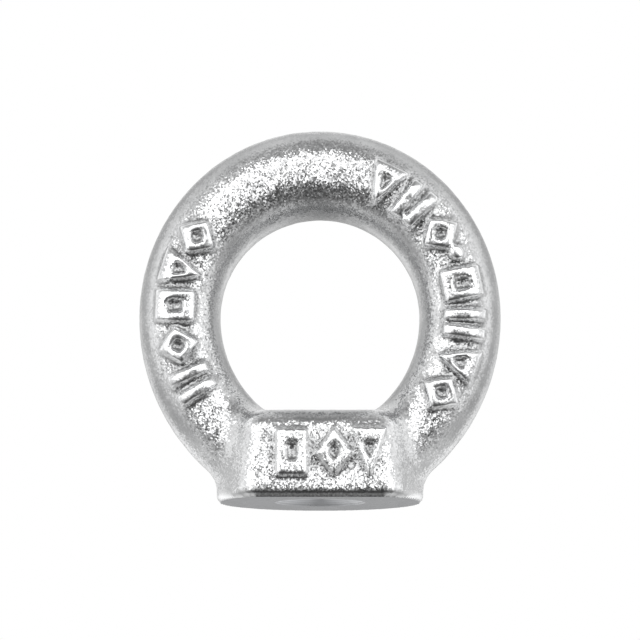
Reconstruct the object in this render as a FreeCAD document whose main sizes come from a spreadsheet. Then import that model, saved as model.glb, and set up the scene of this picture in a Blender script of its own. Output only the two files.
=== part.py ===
import FreeCAD, Part
import math
import os

import Sketcher

# Lifting eye nut for an M12 thread: a drop-forged ring that grows out of a short round
# collar with a flat pad at its front. Origin on the thread's axis at the underside of the
# collar, +Z up through the ring, X across the ring, the pad towards -Y. Millimetres.

document = FreeCAD.newDocument("LiftingEyeNut")
vector = FreeCAD.Vector

# Driving dimensions
sizes = document.addObject("Spreadsheet::Sheet", "Sizes")
driving_dimensions = (
    ("eye_diameter", 29.6),
    ("eye_drop", 1.8),
    ("eye_dip", 2.2),
    ("limb_width", 12.2),
    ("crown_rise", 1.1),
    ("heel_height", 3.4),
    ("ring_thickness", 12.4),
    ("ring_edge_radius", 5.6),
    ("collar_diameter", 31.0),
    ("collar_height", 13.2),
    ("collar_draft", 7.0),
    ("shoulder_radius", 3.3),
    ("pad_offset", 10.8),
    ("pad_lean", 3.0),
    ("junction_radius", 4.5),
    ("base_edge_radius", 0.9),
    ("bore_diameter", 10.1),
    ("mouth_diameter", 13.4),
    ("outlet_diameter", 12.4),
    ("mark_height", 6.4),
    ("mark_spread", 14.5),
    ("mark_hollow", 0.4),
    ("mark_shift", 0.6),
    ("mark_rise", 0.7),
    ("bar_width", 1.7),
    ("dot_diameter", 2.2),
    ("pad_mark_height", 7.2),
    ("pad_mark_width", 5.2),
    ("pad_mark_rise", 0.55),
)
for row, (alias, value) in enumerate(driving_dimensions, start=1):
    sizes.set("A%d" % row, alias)
    sizes.set("B%d" % row, str(value))
    sizes.setAlias("B%d" % row, alias)
document.recompute()

# Sizes that follow from them: the eye's centre above the base, how far the blanks start
# below the finished underside, and the straight slopes of the collar and its pad
eye_radius = "(Sizes.eye_diameter / 2)"
outer_reach = "(Sizes.eye_diameter / 2 + Sizes.limb_width)"
eye_height = "(Sizes.collar_height - Sizes.eye_dip + Sizes.eye_drop + Sizes.eye_diameter / 2)"
blank_depth = "(Sizes.limb_width + Sizes.heel_height)"
draft_slope = "tan(Sizes.collar_draft * 1 deg)"
lean_slope = "tan(Sizes.pad_lean * 1 deg)"

# A half oval is a half circle whose side arcs move outwards by this shift, so that its end
# rises. At the heel the shift brings the outline to the collar's side at the heel's height.
crown_shift = "(Sizes.crown_rise / (2 - sqrt(2)))"
saddle_shift = "(Sizes.eye_drop / (2 - sqrt(2)))"
heel_width = "(Sizes.collar_diameter / 2 - Sizes.heel_height * " + draft_slope + ")"
heel_rise = "(" + eye_height + " - Sizes.heel_height)"
heel_slope = "(2 * " + heel_rise + " - (2 * sqrt(2) - 2) * " + outer_reach + ")"
heel_excess = "(" + outer_reach + "^2 - " + heel_rise + "^2 - " + heel_width + "^2)"
heel_shift = ("((" + heel_slope + " - sqrt(" + heel_slope + "^2 + (8 * sqrt(2) - 8) * "
              + heel_excess + ")) / (4 * sqrt(2) - 4))")
heel_wall = "(Sizes.limb_width + " + heel_shift + " * (2 - sqrt(2)) - Sizes.eye_drop)"


def now(expression):
    """Present value of an expression over the sheet's sizes."""
    result = sizes.evalExpression(expression)
    return float(getattr(result, "Value", result))


def new_body(name, label):
    """Empty body with its label, at the part's origin."""
    body = document.addObject("PartDesign::Body", name)
    body.Label = label
    body.Placement = FreeCAD.Placement()
    return body


def new_sketch(body, name, role):
    """Sketch on one of the body's own origin planes."""
    sketch = body.newObject("Sketcher::SketchObject", name)
    plane = [item for item in body.Origin.OriginFeatures if item.Role == role][0]
    sketch.AttachmentSupport = [(plane, "")]
    sketch.MapMode = "FlatFace"
    return sketch


def constrain(sketch, kind, *references):
    """Geometric constraint, such as a tangency."""
    sketch.addConstraint(Sketcher.Constraint(kind, *references))


def dimension(sketch, name, expression, kind, *references):
    """Named dimension, tied to the sheet."""
    index = sketch.addConstraint(Sketcher.Constraint(kind, *references, now(expression)))
    sketch.renameConstraint(index, name)
    sketch.setExpression("Constraints." + name, expression)


def add_outline(sketch, points):
    """Closed chain of straight lines."""
    corners = [vector(across, up, 0) for across, up in points]
    count = len(corners)
    for index in range(count):
        sketch.addGeometry(Part.LineSegment(corners[index], corners[(index + 1) % count]), False)
    for index in range(count):
        constrain(sketch, "Coincident", index, 2, (index + 1) % count, 1)


def add_arc(sketch, across, up, radius, start):
    """Arc from the start angle, anticlockwise to the end angle, in degrees."""
    circle = Part.Circle(vector(across, up, 0), vector(0, 0, 1), radius)
    begin, end = start
    sketch.addGeometry(Part.ArcOfCircle(circle, math.radians(begin), math.radians(end)), False)


def add_half_oval(sketch, name, reach, shift, upward):
    """Half circle of the given reach, lengthened by the shift: side, end and side arc."""
    first = sketch.GeometryCount
    sense, begin = (1, 0) if upward else (-1, 180)
    centre = now(eye_height)
    offset = sense * now(shift)
    side_radius = now(reach) + now(shift)
    end_radius = side_radius - math.sqrt(2) * now(shift)
    add_arc(sketch, -offset, centre, side_radius, (begin, begin + 45))
    add_arc(sketch, 0, centre + offset, end_radius, (begin + 45, begin + 135))
    add_arc(sketch, offset, centre, side_radius, (begin + 135, begin + 180))
    constrain(sketch, "Tangent", first, 2, first + 1, 1)
    constrain(sketch, "Tangent", first + 1, 2, first + 2, 1)
    constrain(sketch, "PointOnObject", first + 1, 3, -2)
    constrain(sketch, "Horizontal", first + 2, 2, first + 2, 3)
    left, right = (first, first + 2) if upward else (first + 2, first)
    dimension(sketch, name + "_left_shift", shift, "DistanceX", left, 3, -1, 1)
    dimension(sketch, name + "_right_shift", shift, "DistanceX", -1, 1, right, 3)
    dimension(sketch, name + "_left_height", eye_height, "DistanceY", -1, 1, left, 3)
    dimension(sketch, name + "_right_height", eye_height, "DistanceY", -1, 1, right, 3)
    end_height = eye_height + (" + " if upward else " - ") + shift
    dimension(sketch, name + "_end_height", end_height, "DistanceY", -1, 1, first + 1, 3)
    return first


def add_feature(body, kind, name, profile):
    """Feature that works from a sketch."""
    feature = body.newObject("PartDesign::" + kind, name)
    feature.Profile = profile
    return feature


def round_edges(body, name, wanted, radius):
    """Round those edges of the body so far that the test picks by their box and middle point."""
    document.recompute()
    base = body.Tip
    names = []
    for index, edge in enumerate(base.Shape.Edges, start=1):
        middle = edge.valueAt(0.5 * (edge.FirstParameter + edge.LastParameter))
        if wanted(edge.BoundBox, middle):
            names.append("Edge%d" % index)
    fillet = body.newObject("PartDesign::Fillet", name)
    fillet.Base = (base, names)
    fillet.setExpression("Radius", radius)
    document.recompute()
    return fillet


def require_cut(before, feature):
    """A cut has to take material away."""
    document.recompute()
    if feature.Shape.Volume >= before.Shape.Volume - 1e-6:
        raise RuntimeError(feature.Label + " cuts nothing")


def is_face_contour(box, middle):
    return box.YLength < 1e-6


def build_ring(body, prefix, thickness):
    """Rounded ring of a given thickness. Outline and eye are half circles at the top, the
    outline a little higher at the crown, and both reach further down at the heel."""
    outline = new_sketch(body, prefix + "Outline", "XZ_Plane")
    crown = add_half_oval(outline, "crown", outer_reach, crown_shift, True)
    constrain(outline, "Horizontal", crown, 1, crown, 3)
    dimension(outline, "crown_radius", outer_reach + " + " + crown_shift, "Radius", crown)
    heel = add_half_oval(outline, "heel", outer_reach, heel_shift, False)
    constrain(outline, "Coincident", crown + 2, 2, heel, 1)

    eye = outline.GeometryCount
    add_arc(outline, 0, now(eye_height), now(eye_radius), (0, 180))
    constrain(outline, "PointOnObject", eye, 3, -2)
    constrain(outline, "Horizontal", eye, 1, eye, 3)
    constrain(outline, "Horizontal", eye, 2, eye, 3)
    dimension(outline, "eye_height", eye_height, "DistanceY", -1, 1, eye, 3)
    dimension(outline, "eye_radius", eye_radius, "Radius", eye)
    saddle = add_half_oval(outline, "saddle", eye_radius, saddle_shift, False)
    constrain(outline, "Coincident", eye, 2, saddle, 1)

    plate = add_feature(body, "Pad", prefix + "Plate", outline)
    plate.Midplane = True
    plate.setExpression("Length", thickness)
    round_edges(body, prefix + "Rounding", is_face_contour,
                "min(Sizes.ring_edge_radius; Sizes.ring_thickness / 2 - 0.4; Sizes.limb_width / 2 - 0.4; "
                + heel_wall + " / 2 - 0.4)")


# The ring blank, whose limbs run down into the collar
ring = new_body("RingBlank", "ring_blank")
build_ring(ring, "Ring", "Sizes.ring_thickness")

# The collar blank: a drafted cone, longer at the bottom than the finished collar
collar = new_body("CollarBlank", "collar_blank")
cone_foot = "Sizes.collar_diameter / 2 + " + blank_depth + " * " + draft_slope
cone_head = "Sizes.collar_diameter / 2 - Sizes.collar_height * " + draft_slope
cone_profile = new_sketch(collar, "ConeProfile", "YZ_Plane")
add_outline(cone_profile, (
    (0, -now(blank_depth)), (now(cone_foot), -now(blank_depth)),
    (now(cone_head), now("Sizes.collar_height")), (0, now("Sizes.collar_height"))))
constrain(cone_profile, "PointOnObject", 0, 1, -2)
constrain(cone_profile, "Horizontal", 0)
constrain(cone_profile, "Horizontal", 2)
constrain(cone_profile, "Vertical", 3)
dimension(cone_profile, "depth", blank_depth, "DistanceY", 0, 1, -1, 1)
dimension(cone_profile, "height", "Sizes.collar_height", "DistanceY", -1, 1, 2, 2)
dimension(cone_profile, "foot", cone_foot, "DistanceX", 0, 1, 0, 2)
dimension(cone_profile, "head", cone_head, "DistanceX", 2, 2, 2, 1)
cone = add_feature(collar, "Revolution", "CollarCone", cone_profile)
cone.ReferenceAxis = (cone_profile, ["V_Axis"])
cone.Angle = 360
document.recompute()

# The front pad: one flat facet across the collar, leaning back
facet_head = "(Sizes.collar_height + Sizes.shoulder_radius)"
facet_low = "Sizes.pad_offset + " + blank_depth + " * " + lean_slope
facet_high = "Sizes.pad_offset - " + facet_head + " * " + lean_slope
facet = new_sketch(collar, "PadFacet", "YZ_Plane")
add_outline(facet, (
    (-now(facet_low), -now(blank_depth)), (-now(facet_high), now(facet_head)),
    (-now(facet_high) - now(cone_foot), now(facet_head)),
    (-now(facet_high) - now(cone_foot), -now(blank_depth))))
constrain(facet, "Horizontal", 1)
constrain(facet, "Vertical", 2)
constrain(facet, "Horizontal", 3)
dimension(facet, "depth", blank_depth, "DistanceY", 0, 1, -1, 1)
dimension(facet, "height", facet_head, "DistanceY", -1, 1, 0, 2)
dimension(facet, "low", facet_low, "DistanceX", 0, 1, -1, 1)
dimension(facet, "high", facet_high, "DistanceX", 0, 2, -1, 1)
dimension(facet, "width", cone_foot, "DistanceX", 1, 2, 1, 1)
pad_cut = add_feature(collar, "Pocket", "PadCut", facet)
pad_cut.Midplane = True
pad_cut.Type = "ThroughAll"
require_cut(cone, pad_cut)

collar_top = cone.Shape.BoundBox.ZMax


def is_shoulder(box, middle):
    on_top = box.ZMin > collar_top - 1e-6
    on_ridge = middle.y < 0 and box.ZLength > 1 and abs(middle.x) > 1
    return on_top or on_ridge


round_edges(collar, "ShoulderRounding", is_shoulder, "Sizes.shoulder_radius")

# The forging: ring and collar become one piece, faced flat at the underside
forging = new_body("EyeNut", "eye_nut")
union = forging.newObject("PartDesign::Boolean", "RingOnCollar")
union.Type = "Fuse"
union.setObjects([ring, collar])
facing_reach = "(Sizes.collar_diameter + Sizes.limb_width)"
facing = new_sketch(forging, "Facing", "XY_Plane")
facing.addGeometry(Part.Circle(vector(0, 0, 0), vector(0, 0, 1), now(facing_reach)), False)
constrain(facing, "Coincident", 0, 3, -1, 1)
dimension(facing, "reach", facing_reach, "Radius", 0)
document.recompute()
underside = add_feature(forging, "Pocket", "UndersideFacing", facing)
underside.Type = "ThroughAll"
require_cut(union, underside)


# The forged blend, where each limb runs out over the shoulder and down the collar's side
def is_junction(box, middle):
    on_ring = ring.Shape.isInside(middle, 1e-4, True)
    on_collar = collar.Shape.isInside(middle, 1e-4, True)
    return middle.z > 0.01 and on_ring and on_collar


def is_base_rim(box, middle):
    return box.ZMax < 1e-6


round_edges(forging, "JunctionBlend", is_junction, "Sizes.junction_radius")
rounded = round_edges(forging, "BaseRounding", is_base_rim, "Sizes.base_edge_radius")

# Plain raised forge marks. Each is an outline in units of half its width and half its
# height, around its own middle, and a hollow one repeats the outline at a smaller scale.
lozenge = ((0, 1), (1, 0), (0, -1), (-1, 0))
triangle = ((-1, 1), (1, 1), (0, -1))
square = ((-0.85, 0.95), (0.85, 0.95), (0.85, -0.95), (-0.85, -0.95))
bar = ((-1, 1), (1, 1), (1, -1), (-1, -1))
octagon = tuple((math.cos(math.radians(turn)), math.sin(math.radians(turn)))
                for turn in (22.5, 67.5, 112.5, 157.5, 202.5, 247.5, 292.5, 337.5))
mark_reach = "(Sizes.eye_diameter / 2 + Sizes.limb_width / 2 + Sizes.mark_shift)"
mark_width = "(" + mark_reach + " * tan(Sizes.mark_spread * 1 deg))"


def add_mark(sketch, name, outline, width, height, place, angle):
    """One mark's outline at a place, turned clockwise from upright."""
    across, along = place
    first = sketch.GeometryCount
    count = len(outline)
    corners = []
    for side, end in outline:
        reach_out = "(%s * (%r) / 2)" % (height, end)
        reach_side = "(%s * (%r) / 2)" % (width, side)
        turn = "(%r * 1 deg)" % angle
        corners.append((
            "%s + %s * cos%s + %s * sin%s" % (across, reach_side, turn, reach_out, turn),
            "%s - %s * sin%s + %s * cos%s" % (along, reach_side, turn, reach_out, turn)))
    points = [vector(now(x), now(y), 0) for x, y in corners]
    for index in range(count):
        sketch.addGeometry(Part.LineSegment(points[index], points[(index + 1) % count]), False)
    rules, labels = [], []
    for index, (x, y) in enumerate(corners):
        end, following = first + index, first + (index + 1) % count
        rules += [Sketcher.Constraint("Coincident", end, 2, following, 1),
                  Sketcher.Constraint("DistanceX", -1, 1, end, 1, now(x)),
                  Sketcher.Constraint("DistanceY", -1, 1, end, 1, now(y))]
        labels += [None, ("%s_%d_across" % (name, index + 1), x), ("%s_%d_up" % (name, index + 1), y)]
    for index, label in zip(sketch.addConstraint(rules), labels):
        if label:
            sketch.renameConstraint(index, label[0])
            sketch.setExpression("Constraints." + label[0], label[1])


def add_hollow_mark(sketch, name, outline, width, height, place, angle):
    """A mark with its hollow, around the same middle."""
    middle = sum(end for side, end in outline) / len(outline)
    inner = tuple((side, middle + end - middle) for side, end in outline)
    add_mark(sketch, name, outline, width, height, place, angle)
    shrunk = "(" + width + " * Sizes.mark_hollow)", "(" + height + " * Sizes.mark_hollow)"
    add_mark(sketch, name + "_hollow", inner, shrunk[0], shrunk[1], place, angle)


def on_limb(angle, shift="0"):
    """Place on the ring's front, clockwise from the crown."""
    reach = "(" + mark_reach + " + " + shift + ")"
    return (reach + " * sin(%r * 1 deg)" % angle,
            eye_height + " + " + reach + " * cos(%r * 1 deg)" % angle)


# The marks on the limbs are cut to length by a thicker ring, so their tops follow the limbs
mark_ring = new_body("MarkRing", "mark_ring")
build_ring(mark_ring, "MarkRing", "(Sizes.ring_thickness + 2 * Sizes.mark_rise)")
mark_blank = new_body("MarkBlank", "mark_blank")
bars = (("bar_1", 237.5), ("bar_2", 245.0), ("bar_3", 37.0), ("bar_4", 44.0),
        ("bar_5", 90.5), ("bar_6", 97.5))
hollow_marks = (
    ("lozenge_1", lozenge, 257.0), ("square_1", square, 273.0), ("triangle_1", triangle, 287.5),
    ("lozenge_2", lozenge, 302.0), ("triangle_2", triangle, 26.0), ("lozenge_3", lozenge, 56.5),
    ("square_2", square, 78.0), ("triangle_3", triangle, 109.5), ("lozenge_4", lozenge, 123.5))
for side, low, high in (("Right", 0.0, 180.0), ("Left", 180.0, 360.0)):
    limb_marks = new_sketch(mark_blank, side + "Marks", "XZ_Plane")
    for name, angle in bars:
        if low < angle < high:
            add_mark(limb_marks, name, bar, "Sizes.bar_width", "Sizes.mark_height",
                     on_limb(angle), angle)
    for name, outline, angle in hollow_marks:
        if low < angle < high:
            add_hollow_mark(limb_marks, name, outline, mark_width, "Sizes.mark_height",
                            on_limb(angle), angle)
    if low < 66.0 < high:
        add_mark(limb_marks, "dot", octagon, "Sizes.dot_diameter", "Sizes.dot_diameter",
                 on_limb(66.0, "Sizes.mark_height / 8"), 66.0)
    prisms = add_feature(mark_blank, "Pad", side + "Prisms", limb_marks)
    prisms.setExpression("Length", "Sizes.ring_thickness / 2 + 2 * Sizes.mark_rise")
mark_tops = mark_blank.newObject("PartDesign::Boolean", "MarkTops")
mark_tops.Type = "Common"
mark_tops.setObjects([mark_ring])
document.recompute()
limb_relief = forging.newObject("PartDesign::Boolean", "LimbRelief")
limb_relief.Type = "Fuse"
limb_relief.setObjects([mark_blank])

pad_marks = new_sketch(forging, "PadMarks", "XZ_Plane")
pad_marks.AttachmentOffset = FreeCAD.Placement(vector(0, 0, 0), vector(-1, 0, 0), now("Sizes.pad_lean"))
pad_marks.setExpression("AttachmentOffset.Rotation.Angle", "Sizes.pad_lean * 1 deg")
for name, outline, side in (("square", square, -0.8), ("lozenge", lozenge, 0.4), ("triangle", triangle, 1.4)):
    add_hollow_mark(pad_marks, name, outline, "Sizes.pad_mark_width", "Sizes.pad_mark_height",
                    ("Sizes.pad_mark_width * (%r)" % side, "Sizes.collar_height * 0.46"), 0.0)
pad_relief = add_feature(forging, "Pad", "PadRelief", pad_marks)
pad_relief.setExpression("Length", "Sizes.pad_offset * cos(Sizes.pad_lean * 1 deg) + Sizes.pad_mark_rise")
document.recompute()
for relief in (limb_relief, pad_relief):
    if relief.Shape.Volume <= rounded.Shape.Volume + 1e-6:
        raise RuntimeError(relief.Label + " raises nothing")

# The thread's core hole, countersunk at the underside and where it opens into the eye
mouth_step = "((Sizes.mouth_diameter - Sizes.bore_diameter) / 2)"
outlet_step = "((Sizes.outlet_diameter - Sizes.bore_diameter) / 2)"
outlet_floor = "(Sizes.collar_height - (Sizes.outlet_diameter - Sizes.bore_diameter) / 2)"
bore_top = "(Sizes.collar_height + Sizes.eye_diameter / 5)"
bore_profile = new_sketch(forging, "BoreProfile", "YZ_Plane")
add_outline(bore_profile, (
    (0, 0), (now("Sizes.mouth_diameter / 2"), 0),
    (now("Sizes.bore_diameter / 2"), now(mouth_step)),
    (now("Sizes.bore_diameter / 2"), now(outlet_floor)),
    (now("Sizes.outlet_diameter / 2"), now("Sizes.collar_height")),
    (now("Sizes.outlet_diameter / 2"), now(bore_top)),
    (0, now(bore_top))))
constrain(bore_profile, "Coincident", 0, 1, -1, 1)
constrain(bore_profile, "Horizontal", 0)
constrain(bore_profile, "Horizontal", 5)
constrain(bore_profile, "Vertical", 2)
constrain(bore_profile, "Vertical", 4)
constrain(bore_profile, "Vertical", 6)
dimension(bore_profile, "mouth", "Sizes.mouth_diameter / 2", "DistanceX", 0, 1, 0, 2)
dimension(bore_profile, "mouth_step", mouth_step, "DistanceX", 1, 2, 1, 1)
dimension(bore_profile, "mouth_depth", mouth_step, "DistanceY", 1, 1, 1, 2)
dimension(bore_profile, "outlet_floor", outlet_floor, "DistanceY", -1, 1, 3, 1)
dimension(bore_profile, "outlet_depth", outlet_step, "DistanceY", 3, 1, 3, 2)
dimension(bore_profile, "outlet", "Sizes.outlet_diameter / 2", "DistanceX", 5, 2, 5, 1)
dimension(bore_profile, "top", bore_top, "DistanceY", -1, 1, 6, 1)
bore = add_feature(forging, "Groove", "ThreadBore", bore_profile)
bore.ReferenceAxis = (bore_profile, ["V_Axis"])
bore.Angle = 360
require_cut(pad_relief, bore)

# Every feature has to have built, into one closed solid
for item in document.Objects:
    if "Invalid" in item.State or "Error" in item.State:
        raise RuntimeError(item.Label + " did not build")
for body in (ring, collar, forging):
    if body.Shape.isNull() or not body.Shape.isValid() or len(body.Shape.Solids) != 1:
        raise RuntimeError(body.Label + " is not one valid solid")

os.makedirs("parts", exist_ok=True)
forging.Shape.exportStep("parts/" + forging.Label + ".step")
print("%s: %.1f cubic millimetres" % (forging.Label, forging.Shape.Volume))
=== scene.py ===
# %% [markdown]
# # A lifting eye nut
# The real nut is one piece of steel. It is drop-forged: a red-hot bar is struck between two
# dies, which gives a thick ring that runs into a short round collar, with raised marks on
# both limbs and on the flat pad at the front. Then the underside is faced flat, the hole is
# drilled and tapped, and the whole nut is zinc plated.
# This lesson keeps that order. The plain solid in the frame already has the true form and the
# marks, so here it gets its forged skin, is machined and is plated. The frame comes first. It
# is in metres, so a length is written in millimetres times mm.

# %% Load the frame
import math
import bpy
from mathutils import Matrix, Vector


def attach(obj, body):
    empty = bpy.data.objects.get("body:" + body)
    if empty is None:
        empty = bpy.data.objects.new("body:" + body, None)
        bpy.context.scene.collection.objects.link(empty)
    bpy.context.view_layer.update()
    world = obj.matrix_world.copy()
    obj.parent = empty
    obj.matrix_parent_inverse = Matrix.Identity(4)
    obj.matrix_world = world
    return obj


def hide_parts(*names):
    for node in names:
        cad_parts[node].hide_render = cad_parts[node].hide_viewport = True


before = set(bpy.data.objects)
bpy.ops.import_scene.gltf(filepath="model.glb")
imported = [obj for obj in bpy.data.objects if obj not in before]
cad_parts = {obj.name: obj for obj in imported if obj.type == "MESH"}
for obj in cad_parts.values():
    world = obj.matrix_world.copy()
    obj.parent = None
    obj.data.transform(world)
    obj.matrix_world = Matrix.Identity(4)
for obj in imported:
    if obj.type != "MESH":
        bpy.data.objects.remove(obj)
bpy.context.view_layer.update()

mm = 0.001
plain_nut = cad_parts["eye_nut"]


# %% [markdown]
# Blender's operators act on whatever is selected, so every step begins by selecting one
# piece and nothing else. The other helpers select faces in code, by a test on each face,
# merge points that lie on one another, and apply a modifier as soon as it is set. The last
# one fades a value in. It is used where one zone of the nut runs softly into the next.

# %% Helpers for selecting, merging, applying and fading
def take(piece):
    """Select this piece alone and make it the active one, in object mode."""
    if bpy.context.mode != "OBJECT":
        bpy.ops.object.mode_set(mode="OBJECT")
    bpy.ops.object.select_all(action="DESELECT")
    piece.select_set(True)
    bpy.context.view_layer.objects.active = piece


def pick_faces(piece, test):
    """Select the faces that pass the test, and go into edit mode with them."""
    take(piece)
    mesh = piece.data
    for part in (mesh.vertices, mesh.edges, mesh.polygons):
        part.foreach_set("select", [False] * len(part))
    for face in mesh.polygons:
        face.select = bool(test(face))
    bpy.ops.object.mode_set(mode="EDIT")
    bpy.ops.mesh.select_mode(type="FACE")


def merge_points(piece, distance):
    """Merge the points that lie closer together than the distance, and stay in edit mode."""
    take(piece)
    bpy.ops.object.mode_set(mode="EDIT")
    bpy.ops.mesh.select_all(action="SELECT")
    bpy.ops.mesh.remove_doubles(threshold=distance)


def apply_modifier(piece, kind, **settings):
    """Add a modifier, set it and apply it."""
    take(piece)
    step = piece.modifiers.new(kind.lower(), kind)
    for name, value in settings.items():
        setattr(step, name, value)
    bpy.ops.object.modifier_apply(modifier=step.name)


def fade_in(value, start, width):
    """0 up to start, 1 from start + width on, and a straight line in between."""
    return min(max((value - start) / width, 0.0), 1.0)


# %% [markdown]
# The forging starts as a copy of the plain solid, whose mesh is loose triangles, so their
# points are merged first. The hole is filled with a plug for now, because a forging comes out
# of its dies without a hole. It is drilled later, with clean edges, once the skin is rough.

# %% Copy the plain solid and plug its hole
nut = bpy.data.objects.new("forged_nut", plain_nut.data.copy())
bpy.context.scene.collection.objects.link(nut)
merge_points(nut, 0.001 * mm)
bpy.ops.object.mode_set(mode="OBJECT")

collar_height, plug_radius = 13.2 * mm, 6.9 * mm
bpy.ops.object.select_all(action="DESELECT")
bpy.ops.mesh.primitive_cylinder_add(vertices=96, radius=plug_radius, depth=collar_height,
                                    location=(0, 0, collar_height / 2))
plug = bpy.context.object
bpy.ops.object.transform_apply(location=True, rotation=True, scale=True)
print("merged copy:", len(nut.data.vertices), "points")

# %% [markdown]
# Now the copy and the plug are joined and melted into one skin. A voxel remesh keeps only
# the outside of solids that overlap, and a little smoothing rounds every corner, as on a
# real forging: hot steel never quite fills the corners of its dies. The grid is fine enough
# for the marks, and it keeps the finished nut under 200,000 triangles.

# %% Forge: one skin with rounded corners
skin_grid = 0.305 * mm
take(nut)
plug.select_set(True)
bpy.ops.object.join()
apply_modifier(nut, "REMESH", mode="VOXEL", voxel_size=skin_grid)
apply_modifier(nut, "SMOOTH", factor=0.5, iterations=6)
print("forged skin:", len(nut.data.polygons), "faces")

# %% [markdown]
# The edge below the pad is rounder than the rest, and it shows as a dark stripe under the
# bright pad. A stronger Smooth makes it. A vertex group holds this to the lowest front part
# of the collar, and its weights fade out over a millimetre, so no step is left.

# %% Forge: the round edge below the pad
edge_top, edge_front = 2.2, -8.2  # mm: the zone lies below edge_top and before edge_front
edge_fade = 1.0                   # mm over which it fades in
base_edge = nut.vertex_groups.new(name="base_edge")
rounded = 0
for v in nut.data.vertices:
    low = fade_in(edge_top - v.co.z / mm, 0.0, edge_fade)
    front = fade_in(edge_front - v.co.y / mm, 0.0, edge_fade)
    if low * front > 0:
        base_edge.add([v.index], low * front, "REPLACE")
        rounded += 1
apply_modifier(nut, "SMOOTH", factor=0.7, iterations=24, vertex_group=base_edge.name)
nut.vertex_groups.clear()
print("points in the round edge:", rounded)

# %% [markdown]
# A forging has scale on it when it is struck, and that leaves the skin faintly uneven. Two
# Displace modifiers with a Clouds pattern do the same, one for wide waves and one for small
# pits. They only push inwards, so the nut doesn't grow, and a vertex group keeps them off
# the underside, which is machined.

# %% Forge: the rough skin
skin_start, skin_width = 0.25, 0.8  # mm above the base: where it starts, and fades in over
rough_skin = nut.vertex_groups.new(name="rough_skin")
for v in nut.data.vertices:
    rough_skin.add([v.index], fade_in(v.co.z / mm, skin_start, skin_width), "REPLACE")
for name, width, depth in (("scale_waves", 2.2, 0.06), ("scale_pits", 0.75, 0.04)):
    clouds = bpy.data.textures.new(name, "CLOUDS")
    clouds.noise_scale = width * mm
    clouds.noise_depth = 1
    apply_modifier(nut, "DISPLACE", texture=clouds, texture_coords="LOCAL", mid_level=1.0,
                   strength=depth * mm, vertex_group=rough_skin.name)
    print(name, "about", width, "mm wide and up to", depth, "mm deep")
nut.vertex_groups.clear()

# %% [markdown]
# Tumbling and handling polish what stands proud, which calms its grain. The finish also paints
# shade into the grooves around it and a highlight onto its tops. How proud each point stands is
# measured against a much smoother copy of the skin. The result is kept on the mesh as an
# attribute, in millimetres, and the finish reads it later. That way the polish, the painted
# shade and the painted highlight follow the marks wherever they are.

# %% Measure what stands proud
smoothed = bpy.data.objects.new("smoothed_skin", nut.data.copy())
bpy.context.scene.collection.objects.link(smoothed)
apply_modifier(smoothed, "SMOOTH", factor=0.8, iterations=40)
proud = nut.data.attributes.new("proud", "FLOAT", "POINT")
for point, calm, value in zip(nut.data.vertices, smoothed.data.vertices, proud.data):
    value.value = (point.co - calm.co).dot(calm.normal) / mm
bpy.data.objects.remove(smoothed)
print("stands proud by up to", round(max(v.value for v in proud.data), 2), "mm")

# %% [markdown]
# Where the dies meet, steel is squeezed out as flash. It is trimmed off, which wipes two
# bands: one on the inner wall of the eye and one along the rim. Their grain is finer and
# duller, and the finish darkens their colour with painted shade. A second attribute marks
# them, from 0 to 1, by the distance from the ring's centre. The inner band is widest at the
# crown, and the rim's band dies out above the collar.

# %% Mark the trimmed bands
ring_centre = 27.6                   # mm above the base; the rest are mm from this centre
inner_end, crown_extra = 16.5, 1.3   # the inner band ends here, and further out at the crown
inner_blur = 0.5                     # over this much it fades out
rim_start, rim_width = 25.0, 0.8     # the rim's band begins here, and over this much fades in
foot_start, foot_width = -21.0, 7.0  # so it does from this height on, over this much
trimmed = nut.data.attributes.new("trimmed", "FLOAT", "POINT")
for point, value in zip(nut.data.vertices, trimmed.data):
    across, up = point.co.x / mm, point.co.z / mm - ring_centre
    reach = math.hypot(across, up)
    inner_edge = inner_end + crown_extra * max(up / max(reach, 1.0), 0.0)
    inner = fade_in(inner_edge - reach, -inner_blur / 2, inner_blur)
    rim = fade_in(reach, rim_start, rim_width) * fade_in(up, foot_start, foot_width)
    value.value = max(inner, rim)
print("points on the trimmed bands:", sum(v.value > 0.5 for v in trimmed.data))

# %% [markdown]
# Machining comes next. On a lathe the underside is faced flat. Here its faces are picked by
# height and direction, and squeezed onto the plane of the base by a scale of zero.

# %% Face the underside
faced_depth = 0.25 * mm
pick_faces(nut, lambda face: face.center.z < faced_depth and face.normal.z < -0.9)
bpy.ops.transform.resize(value=(1, 1, 0), center_override=(0, 0, 0))
bpy.ops.object.mode_set(mode="OBJECT")
print("lowest point, mm:", round(min(v.co.z for v in nut.data.vertices) / mm, 4))

# %% [markdown]
# The thread is cut with a tap, as in the workshop. One tooth of an M12 thread is drawn from a
# single point by four extrudes: core, flank, crest and flank. The Screw modifier winds it
# up, its turns are merged, and both ends are closed, because a Boolean needs a closed cutter.

# %% Wind up the tap
core_radius, crest_radius, pitch = 5.05 * mm, 6.0 * mm, 1.75 * mm
flank_angle = math.radians(30)
tap_start, tap_turns, steps_per_turn = -3.3 * mm, 11, 72
tap_merge = 0.002 * mm
bpy.ops.object.select_all(action="DESELECT")
bpy.ops.mesh.primitive_plane_add(size=0.2 * mm, location=(core_radius, 0, tap_start))
tap = bpy.context.object
bpy.ops.object.transform_apply(location=True, rotation=True, scale=True)
bpy.ops.object.mode_set(mode="EDIT")
bpy.ops.mesh.select_mode(type="VERT")
bpy.ops.mesh.select_all(action="SELECT")
bpy.ops.mesh.merge(type="CENTER")
depth = crest_radius - core_radius
flank = depth * math.tan(flank_angle)
core, crest = pitch / 4, pitch * 3 / 4 - 2 * flank
for out, up in ((0, core), (depth, flank), (0, crest), (-depth, flank)):
    bpy.ops.mesh.extrude_region_move(TRANSFORM_OT_translate={"value": (out, 0, up)})
bpy.ops.object.mode_set(mode="OBJECT")
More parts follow.
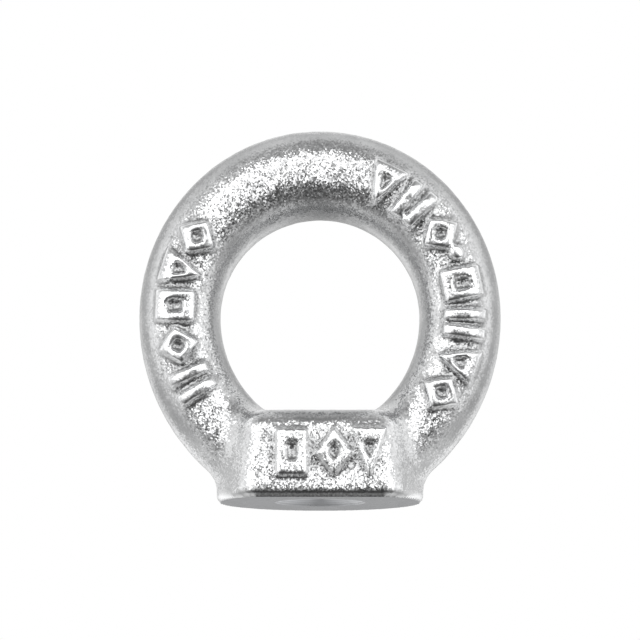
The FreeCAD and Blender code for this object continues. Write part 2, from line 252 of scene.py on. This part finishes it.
apply_modifier(tap, "SCREW", axis="Z", angle=2 * math.pi, screw_offset=pitch,
               iterations=tap_turns, steps=steps_per_turn, render_steps=steps_per_turn,
               use_merge_vertices=True, merge_threshold=tap_merge)
merge_points(tap, tap_merge)
bpy.ops.mesh.fill_holes(sides=0)
bpy.ops.mesh.select_all(action="SELECT")
bpy.ops.mesh.normals_make_consistent(inside=False)
bpy.ops.object.mode_set(mode="OBJECT")
print("tap:", len(tap.data.polygons), "faces, M12 pitch", pitch / mm, "mm")

# %% [markdown]
# A countersink at each end of the hole lets the first turn start cleanly. Its cutter is a
# cone of 45 degrees, with its wide end extruded past the surface of the nut, so that no thin
# film of steel is left there. Then the tap and both countersinks are taken away in turn.

# %% Cut the thread and its countersinks
def countersink(radius, wide, floor, top):
    """A cutter that widens from radius at floor by 45 degrees, then runs straight to top."""
    bpy.ops.object.select_all(action="DESELECT")
    height = abs(wide - radius)
    sense = 1 if top > floor else -1
    bpy.ops.mesh.primitive_cone_add(vertices=144, radius1=radius if sense > 0 else wide,
                                    radius2=wide if sense > 0 else radius, depth=height,
                                    location=(0, 0, floor + sense * height / 2))
    cutter = bpy.context.object
    bpy.ops.object.transform_apply(location=True, rotation=True, scale=True)
    pick_faces(cutter, lambda face: face.normal.z * sense > 0.9)
    bpy.ops.mesh.extrude_region_move(
        TRANSFORM_OT_translate={"value": (0, 0, top - floor - sense * height)})
    bpy.ops.object.mode_set(mode="OBJECT")
    return cutter


mouth_radius, mouth_wide, mouth_floor, mouth_end = (v * mm for v in (4.85, 7.05, 1.85, -1.0))
outlet_radius, outlet_wide, outlet_floor, outlet_end = (v * mm for v in (5.05, 6.2, 12.05, 19.0))
mouth = countersink(mouth_radius, mouth_wide, mouth_floor, mouth_end)
outlet = countersink(outlet_radius, outlet_wide, outlet_floor, outlet_end)
for cutter in (tap, mouth, outlet):
    apply_modifier(nut, "BOOLEAN", operation="DIFFERENCE", object=cutter, solver="MANIFOLD")
    bpy.data.objects.remove(cutter)
print("machined nut:", len(nut.data.polygons), "faces")

# %% [markdown]
# Plating follows. A finish in Blender is a network of nodes, and its steps repeat, so each
# kind of step gets a short helper: noise, a value stretched to another range, a value that
# was measured on the mesh, two values or vectors put together, a ramp between two colours.
# All patterns are read in the nut's own coordinates, so they stay put when it moves.

# %% Helpers for building finishes
def wire(tree, node, inputs):
    """Give each named input of a node a plain value, or link an output to it."""
    for name, value in inputs.items():
        if isinstance(value, bpy.types.NodeSocket):
            tree.links.new(value, node.inputs[name])
        else:
            node.inputs[name].default_value = value


def add_node(tree, kind, inputs=None, **settings):
    """Add a node, set it up and wire its inputs."""
    node = tree.nodes.new(kind)
    for name, value in settings.items():
        setattr(node, name, value)
    wire(tree, node, inputs or {})
    return node


def new_finish(name):
    """A metal material, its nodes, its shader, and the place on the nut that it colours."""
    finish = bpy.data.materials.new(name)
    finish.use_nodes = True
    tree = finish.node_tree
    shader = tree.nodes["Principled BSDF"]
    wire(tree, shader, {"Metallic": 1.0})
    return finish, tree, shader, add_node(tree, "ShaderNodeTexCoord").outputs["Object"]


def noise(tree, place, scale, detail=2.0, roughness=0.5):
    """Noise with so many waves to the metre."""
    inputs = {"Vector": place, "Scale": scale, "Detail": detail, "Roughness": roughness}
    return add_node(tree, "ShaderNodeTexNoise", inputs).outputs["Fac"]


def measured(tree, name):
    """A value that was measured on the mesh and kept there as an attribute."""
    return add_node(tree, "ShaderNodeAttribute", attribute_name=name).outputs["Fac"]


def spread(tree, source, low, high, out_low, out_high):
    """Stretch a value from one range to another, and hold it at the ends."""
    inputs = {"Value": source, "From Min": low, "From Max": high,
              "To Min": out_low, "To Max": out_high}
    return add_node(tree, "ShaderNodeMapRange", inputs).outputs["Result"]


def combine(tree, kind, first, second=0.0):
    """Two values put together, such as their sum or product."""
    inputs = {0: first, 1: second}
    return add_node(tree, "ShaderNodeMath", inputs, operation=kind).outputs["Value"]


def combine_vectors(tree, kind, inputs):
    """Vectors put together, such as their sum, or one vector scaled or made one long."""
    return add_node(tree, "ShaderNodeVectorMath", inputs, operation=kind).outputs["Vector"]


def two_tones(tree, source, dark, light, start=0.0, end=1.0):
    """A colour between dark and light, as the source goes from start to end."""
    ramp = add_node(tree, "ShaderNodeValToRGB", {"Fac": source})
    for stop, position, colour in zip(ramp.color_ramp.elements, (start, end), (dark, light)):
        stop.position, stop.color = position, (*colour, 1.0)
    return ramp.outputs["Color"]


# %% [markdown]
# Zinc over forged steel glitters: each grain is a small facet that mirrors another part of
# the room. A bump alone gives soft ripples, so Voronoi cells are used as well. Each cell has
# one random colour, and that tilts the surface's own normal by one fixed amount, as if the
# cell were flat. Noise adds the pits. Both calm down where the nut is polished or trimmed.

# %% Plate: the grain of the forged zinc
facets_per_metre, facet_tilt = 4500.0, 0.36
pits_per_metre, pit_depth = 2600.0, 0.03 * mm
polish_start, polish_full = 0.06, 0.20     # mm that a point stands proud
grain_on_tops, grain_on_bands = 0.22, 0.6  # what is left of the grain there

forged_zinc, tree, shader, place = new_finish("forged_zinc")
proud_here, trimmed_here = measured(tree, "proud"), measured(tree, "trimmed")
grain = combine(tree, "MULTIPLY",
                spread(tree, proud_here, polish_start, polish_full, 1.0, grain_on_tops),
                spread(tree, trimmed_here, 0.0, 1.0, 1.0, grain_on_bands))

cells = add_node(tree, "ShaderNodeTexVoronoi", {"Vector": place, "Scale": facets_per_metre})
lean = combine_vectors(tree, "SUBTRACT", {0: cells.outputs["Color"], 1: (0.5, 0.5, 0.5)})
tilt = combine(tree, "MULTIPLY", grain, facet_tilt)
lean = combine_vectors(tree, "SCALE", {0: lean, "Scale": tilt})
surface = add_node(tree, "ShaderNodeNewGeometry").outputs["Normal"]
facets = combine_vectors(tree, "ADD", {0: surface, 1: lean})
facets = combine_vectors(tree, "NORMALIZE", {0: facets})

pits = noise(tree, place, pits_per_metre, 3.0, 0.65)
relief = add_node(tree, "ShaderNodeBump", {"Strength": grain, "Distance": pit_depth,
                                           "Height": pits, "Normal": facets})
wire(tree, shader, {"Normal": relief.outputs["Normal"]})
print("facets about", round(1000 / facets_per_metre, 2), "mm wide")

# %% [markdown]
# The colour of a metal is the tint and strength of what it mirrors. Plating is never even,
# so two greys change places in wide patches. Light and shade are also painted into the colour:
# painted shade darkens the grooves round the marks, the trimmed bands and, most of all, the
# edge below the pad, and a painted highlight brightens the tops of the marks. The pits are
# matt, the crests are glossy, and the trimmed bands are hazier.

# %% Plate: the colour and gloss of the forged zinc
dark_zinc, light_zinc = (0.69, 0.695, 0.70), (0.81, 0.815, 0.82)
# Painted shade darkens the grooves round the marks, and a painted highlight brightens their
# tops.
groove_full, groove_start, painted_groove_shade = -0.13, -0.025, 0.5  # mm, mm, share of the colour
top_start, top_full, painted_top_highlight = 0.08, 0.2, 0.18              # mm, mm, added to the share
# Painted shade darkens the trimmed bands to the first share of their colour, and the edge below
# the pad to the second.
painted_band_shade, painted_edge_shade = 0.75, 0.62
# The low front edge below the pad gets painted shade within these heights and depths.
edge_shade_low, edge_shade_high = 0.9 * mm, 1.4 * mm      # painted shade below the one, none above the other
edge_shade_front, edge_shade_back = -9.6 * mm, -8.6 * mm  # painted shade before the one, none behind the other
patches_per_metre = 260.0

patches = noise(tree, place, patches_per_metre, 3.0, 0.55)
tone = two_tones(tree, patches, dark_zinc, light_zinc, 0.35, 0.65)
painted_groove_shade_and_top_highlight = combine(tree, "ADD",
               spread(tree, proud_here, groove_full, groove_start, painted_groove_shade, 1.0),
               spread(tree, proud_here, top_start, top_full, 0.0, painted_top_highlight))
axes = add_node(tree, "ShaderNodeSeparateXYZ", {"Vector": place})
# A mask for the painted shade on the edge below the pad: 1 there, fading to 0.
painted_edge_shade_mask = combine(tree, "MULTIPLY",
               spread(tree, axes.outputs["Z"], edge_shade_low, edge_shade_high, 1.0, 0.0),
               spread(tree, axes.outputs["Y"], edge_shade_front, edge_shade_back, 1.0, 0.0))
# Painted shade in the colour of the trimmed bands and of the edge below the pad.
painted_band_and_edge_shade = combine(tree, "MULTIPLY",
                 spread(tree, trimmed_here, 0.0, 1.0, 1.0, painted_band_shade),
                 spread(tree, painted_edge_shade_mask, 0.0, 1.0, 1.0, painted_edge_shade))
share = combine(tree, "MULTIPLY", painted_groove_shade_and_top_highlight, painted_band_and_edge_shade)
noise_low, noise_high = 0.3, 0.7  # nearly all noise lies in between
pit_haze, crest_haze, band_haze = 0.17, 0.08, 0.08
gloss = spread(tree, pits, noise_low, noise_high, pit_haze, crest_haze)
haze = spread(tree, trimmed_here, 0.0, 1.0, 0.0, band_haze)
wire(tree, shader, {"Base Color": combine_vectors(tree, "SCALE", {0: tone, "Scale": share}),
                    "Roughness": combine(tree, "ADD", gloss, haze)})
print("forged zinc:", len(tree.nodes), "nodes")

# %% [markdown]
# The faced underside and the countersinks were turned, so they have fine rings round the
# hole in place of grain, and a hazier shine. A Wave texture in rings around Z gives them.

# %% Plate: machined zinc
machined_colour = (0.64, 0.65, 0.67, 1.0)
ring_scale, ring_depth, hazes_per_metre = 1100.0, 0.02 * mm, 700.0
machined_gloss, machined_haze = 0.26, 0.4
machined_zinc, tree, shader, place = new_finish("machined_zinc")
rings = add_node(tree, "ShaderNodeTexWave",
                 {"Vector": place, "Scale": ring_scale, "Distortion": 1.5},
                 wave_type="RINGS", rings_direction="Z")
turning = add_node(tree, "ShaderNodeBump", {"Strength": 0.5, "Distance": ring_depth,
                                            "Height": rings.outputs["Fac"]})
haze = spread(tree, noise(tree, place, hazes_per_metre), noise_low, noise_high,
              machined_gloss, machined_haze)
wire(tree, shader, {"Normal": turning.outputs["Normal"], "Base Color": machined_colour,
                    "Roughness": haze})
print("machined zinc:", len(tree.nodes), "nodes")

# %% [markdown]
# The thread is painted far darker than the rest, as painted shade deep in the hole, in
# patches that come and go. It is also less shiny than the rest.

# %% Plate: the thread
# Painted shade: the two greys of the thread.
dark_thread_shade, light_thread_shade = (0.10, 0.10, 0.10), (0.24, 0.24, 0.245)
thread_shade_patches_per_metre, thread_haze = 900.0, 0.42
thread_zinc_painted_shade, tree, shader, place = new_finish("thread_zinc_painted_shade")
painted_thread_shade = two_tones(tree, noise(tree, place, thread_shade_patches_per_metre), dark_thread_shade, light_thread_shade)
wire(tree, shader, {"Base Color": painted_thread_shade, "Roughness": thread_haze})
print("thread zinc:", len(tree.nodes), "nodes")

# %% [markdown]
# Each face takes its finish from its place: the thread and the wall of the hole, then the
# underside and the countersinks, and the forged skin for all others. The countersinks are
# known by their cones, on which the distance from the axis changes as fast as the height.
# Smooth shading stays off at edges over 50 degrees, so the machined edges look crisp.

# %% Put the finishes on the nut
forged, machined, threaded = 0, 1, 2
thread_reach, hole_reach = 6.15 * mm, 6.95 * mm
thread_low, thread_high = 0.3 * mm, 12.9 * mm
hole_high, crisp_angle = 13.0 * mm, math.radians(50)
near_cone, near_base = 0.05 * mm, 0.01 * mm
mouth_cone, outlet_cone = mouth_radius + mouth_floor, outlet_radius - outlet_floor

nut.data.materials.clear()
for finish in (forged_zinc, machined_zinc, thread_zinc_painted_shade):
    nut.data.materials.append(finish)
count = {forged: 0, machined: 0, threaded: 0}
for face in nut.data.polygons:
    height, out = face.center.z, math.hypot(face.center.x, face.center.y)
    off_cone = min(abs(out + height - mouth_cone), abs(out - height - outlet_cone))
    underneath = height < near_base and face.normal.z < -0.99
    in_thread = out < thread_reach and thread_low < height < thread_high
    if in_thread and off_cone >= near_cone:
        face.material_index = threaded
    elif underneath or (out < hole_reach and height < hole_high):
        face.material_index = machined
    count[face.material_index] += 1
take(nut)
bpy.ops.object.shade_smooth_by_angle(angle=crisp_angle)
print("faces that are forged, machined and threaded:", list(count.values()))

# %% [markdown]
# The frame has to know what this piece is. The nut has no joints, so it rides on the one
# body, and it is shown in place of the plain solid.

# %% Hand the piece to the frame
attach(nut, "root")
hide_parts("eye_nut")
print("piece:", nut.name)

# %% [markdown]
# The studio has a pale floor just under the nut. This camera looks up from below it, so the
# floor's underside is made clear and only its top is painted. Seen from above, it takes
# the nut's shadow. It isn't mirrored in the metal, which mirrors the room's lights alone.

# %% Floor
floor_grey, floor_radius, floor_gap = (0.86, 0.86, 0.86, 1.0), 4.0, 0.05 * mm
bpy.ops.object.select_all(action="DESELECT")
bpy.ops.mesh.primitive_circle_add(vertices=96, radius=floor_radius, fill_type="NGON",
                                  location=(0, 0, -floor_gap))
floor = bpy.context.object
floor.name = "floor"
bpy.ops.object.transform_apply(location=True, rotation=True, scale=True)
floor.visible_glossy = False
pale_floor = bpy.data.materials.new("pale_floor")
pale_floor.use_nodes = True
tree = pale_floor.node_tree
paint = tree.nodes["Principled BSDF"]
wire(tree, paint, {"Base Color": floor_grey, "Roughness": 0.9, "Specular IOR Level": 0.0})
side = add_node(tree, "ShaderNodeNewGeometry")
clear = add_node(tree, "ShaderNodeBsdfTransparent")
one_sided = add_node(tree, "ShaderNodeMixShader",
                     {"Fac": side.outputs["Backfacing"], 1: paint.outputs["BSDF"],
                      2: clear.outputs["BSDF"]})
wire(tree, tree.nodes["Material Output"], {"Surface": one_sided.outputs["Shader"]})
floor.data.materials.append(pale_floor)
print("floor:", 2 * floor_radius, "m wide")

# %% [markdown]
# Bright metal shows what stands around it, so the room does most of the work. It is dim,
# with soft round lights set into it: a strong pair beside the camera, pairs at the sides, and
# more above, behind and below. Each is a lobe that fades as the view turns away from it,
# and the higher its tightness, the sooner. The direction is folded left over right, so
# every light has its twin. Only what the metal sees is lit so: the camera sees plain white.

# %% Room with soft lights
studio = bpy.data.worlds.new("white_studio")
bpy.context.scene.world = studio
studio.use_nodes = True
tree = studio.node_tree
view = add_node(tree, "ShaderNodeTexCoord").outputs["Generated"]
axes = add_node(tree, "ShaderNodeSeparateXYZ", {"Vector": view})
folded = add_node(tree, "ShaderNodeCombineXYZ",
                  {"X": combine(tree, "ABSOLUTE", axes.outputs["X"]),
                   "Y": axes.outputs["Y"], "Z": axes.outputs["Z"]}).outputs["Vector"]


def soft_light(azimuth, elevation, tightness):
    """How bright a soft round light is, seen from the nut. Azimuth 0 is the camera's side."""
    turn, rise = math.radians(azimuth), math.radians(elevation)
    aim = (math.sin(turn) * math.cos(rise), -math.cos(turn) * math.cos(rise), math.sin(rise))
    facing = add_node(tree, "ShaderNodeVectorMath", {0: folded, 1: aim},
                      operation="DOT_PRODUCT").outputs["Value"]
    away = combine(tree, "SUBTRACT", facing, 1.0)
    return combine(tree, "EXPONENT", combine(tree, "MULTIPLY", away, tightness))


soft_lights = (  # azimuth and elevation in degrees, tightness, strength
    (33.0, 13.0, 17.0, 2.4), (0.0, 26.0, 45.0, 2.3), (80.0, -1.0, 13.6, 0.85),
    (80.0, 59.0, 2.3, 0.36), (100.0, 35.0, 13.6, 0.7), (150.0, 71.0, 13.6, 0.6),
    (180.0, 28.0, 14.0, 0.8), (125.0, -13.0, 2.3, 0.31), (150.0, -13.0, 9.0, 0.8),
    (50.0, -13.0, 13.6, 0.12), (75.0, -60.0, 10.0, 0.8), (150.0, -49.0, 13.6, 0.3))
room = 0.02  # the dim walls, to which the lights are added
for azimuth, elevation, tightness, strength in soft_lights:
    lobe = combine(tree, "MULTIPLY", soft_light(azimuth, elevation, tightness), strength)
    room = combine(tree, "ADD", lobe, room)
path = add_node(tree, "ShaderNodeLightPath")
seen = add_node(tree, "ShaderNodeMix",
                {"Factor": path.outputs["Is Camera Ray"], "A": room, "B": 1.0})
wire(tree, tree.nodes["Background"], {"Color": seen.outputs["Result"], "Strength": 1.0})
print("soft lights:", len(soft_lights))

# %% [markdown]
# The camera stands 0.7 m away with a long lens, so the ring shows almost no perspective. It
# looks up at the nut from seven degrees below level, so a little of the underside shows.

# %% Camera
lens = bpy.data.cameras.new("camera")
lens.lens, lens.sensor_width = 263.8, 36.0
camera = bpy.data.objects.new("camera", lens)
bpy.context.scene.collection.objects.link(camera)
stand, target = Vector((0, -694.8 * mm, -57.7 * mm)), Vector((0, 0, 27.33 * mm))
camera.location = stand
camera.rotation_euler = (target - stand).to_track_quat("-Z", "Y").to_euler()
bpy.context.scene.camera = camera
bpy.context.scene.view_settings.view_transform = "Standard"
print("camera to nut, mm:", round((target - stand).length / mm, 1))
